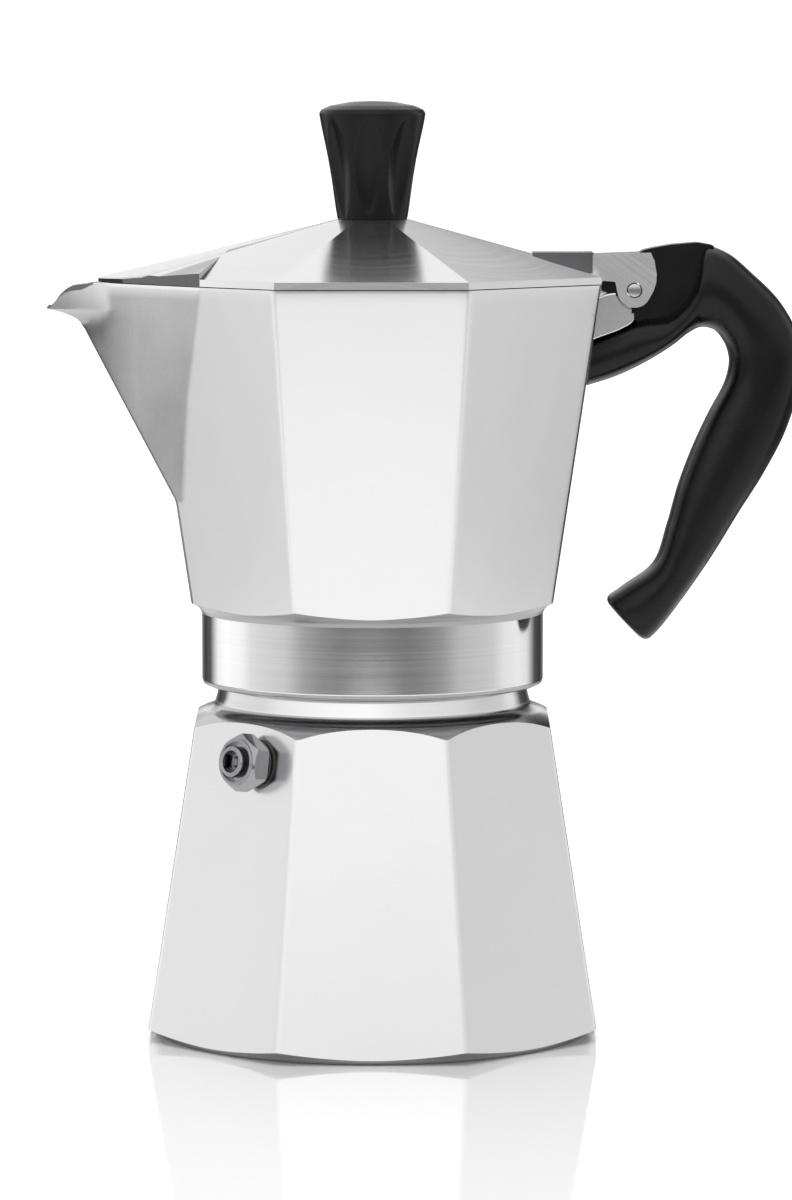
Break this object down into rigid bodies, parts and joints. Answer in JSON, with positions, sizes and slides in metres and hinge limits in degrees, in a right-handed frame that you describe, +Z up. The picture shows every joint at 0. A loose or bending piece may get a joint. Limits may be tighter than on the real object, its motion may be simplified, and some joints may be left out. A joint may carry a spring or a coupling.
{
  "type": "moka pot",
  "caption": "Faceted aluminium stovetop coffee pot: boiler with safety valve, funnel, screw-on collector with spout, hinged lid, black knob and handle.",
  "frame": {"origin": "centre of the boiler's flat bottom face", "axes": "+Z up along the pot's axis, +X towards the handle, so the spout points along -X"},
  "size_m": [0.1748, 0.1048, 0.2169],
  "materials": {
    "cast_aluminium": "die-cast, tumbled and lightly polished",
    "turned_aluminium": "turned and brushed",
    "spun_aluminium": "spun sheet, satin",
    "plated_steel": "nickel plated",
    "spring_steel": "drawn wire",
    "brass": "turned",
    "black_moulding": "phenolic moulding, gloss",
    "white_rubber": "matt",
    "fibre_seal": "matt"
  },
  "bodies": {
    "boiler": {"boiler": "cast_aluminium", "valve_body": "plated_steel", "valve_washer": "fibre_seal", "valve_seat": "brass", "valve_spring": "spring_steel"},
    "valve_plunger": {"valve_plunger": "spring_steel"},
    "funnel": {"funnel_basket": "spun_aluminium", "funnel_strainer": "spun_aluminium", "funnel_stem": "spun_aluminium"},
    "seal": {"gasket": "white_rubber", "filter_plate": "spun_aluminium"},
    "collector": {"collector": "cast_aluminium", "riser_column": "turned_aluminium", "column_cap": "turned_aluminium", "hinge_pin": "plated_steel", "handle": "black_moulding"},
    "lid": {"lid": "cast_aluminium", "knob": "black_moulding", "knob_insert": "brass", "knob_washer": "plated_steel", "knob_screw": "plated_steel"}
  },
  "joints": [
    {"name": "valve_slide", "type": "slide", "parent": "boiler", "child": "valve_plunger", "axis": [-0.6989, -0.6989, 0.1516], "range_m": [0, 0.0012], "stiffness_N_per_m": 200, "springref_m": -0.005, "deforming": ["valve_spring"]},
    {"name": "top_lift", "type": "slide", "parent": "boiler", "child": "seal", "axis": [0, 0, 1], "range_m": [0, 0.2]},
    {"name": "funnel_lift", "type": "slide", "parent": "boiler", "child": "funnel", "axis": [0, 0, 1], "range_m": [0, 0.1]},
    {"name": "top_unscrew", "type": "hinge", "parent": "seal", "child": "collector", "pos_m": [0, 0, 0.09], "axis": [0, 0, 1], "range_deg": [0, 450]},
    {"name": "lid_hinge", "type": "hinge", "parent": "collector", "child": "lid", "pos_m": [0.0606, 0, 0.1733], "axis": [0, 1, 0], "range_deg": [0, 90]}
  ],
  "couplings": [
    {"joint": "funnel_lift", "follows": "top_lift", "ratio": 0.5}
  ]
}
